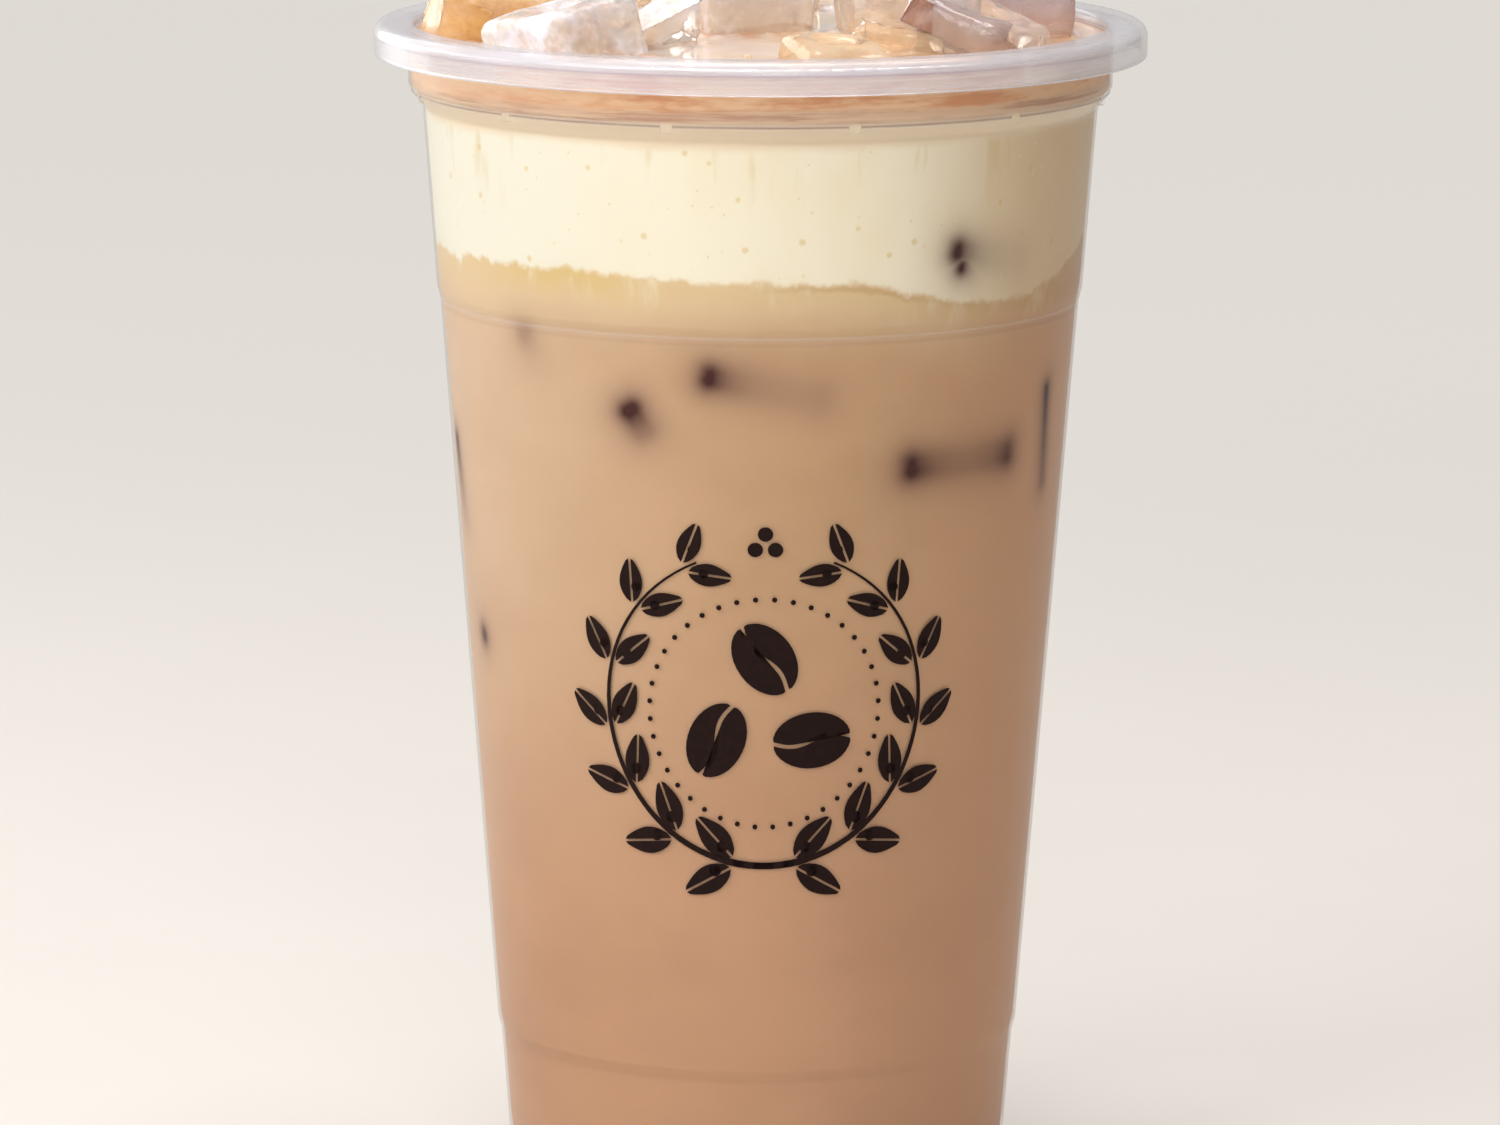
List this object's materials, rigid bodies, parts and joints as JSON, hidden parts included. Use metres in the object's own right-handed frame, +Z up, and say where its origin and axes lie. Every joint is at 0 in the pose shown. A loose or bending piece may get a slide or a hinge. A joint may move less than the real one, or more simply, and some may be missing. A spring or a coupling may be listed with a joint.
{
  "type": "iced caffe mocha in a clear takeaway cup",
  "caption": "Tall clear plastic takeaway cup, filled to the brim with milky iced mocha under a cream layer and a thin coffee layer, with ice standing in the top.",
  "frame": {"origin": "centre of the cup's foot ring, on the table", "axes": "+Z up along the cup's axis, -Y towards the front, +X to the right of it"},
  "size_m": [0.09, 0.09, 0.1469],
  "materials": {
    "clear_cup": "clear injection-moulded polypropylene, milky where it is thick or seen edge-on",
    "milky_mocha": "milky mocha, opaque, evenly pinkish tan",
    "cream": "thick pale yellow milk cream, opaque",
    "coffee_top": "thin layer of light orange-brown coffee, wet surface",
    "ice": "melting ice, clear to frosted, wet",
    "dark_print": "near-black brown ink printed on the cup",
    "cocoa_jelly": "dark cocoa jelly sunk in the drink"
  },
  "bodies": {
    "root": {"cup": "clear_cup", "coffee": "coffee_top", "cream": "cream", "mocha": "milky_mocha", "ice_left": "ice", "ice_front_left": "ice", "ice_front": "ice", "ice_front_right": "ice", "ice_right": "ice", "ice_back_right": "ice", "ice_back": "ice", "ice_back_left": "ice", "ice_middle": "ice", "ice_middle_right": "ice"}
  },
  "joints": []
}
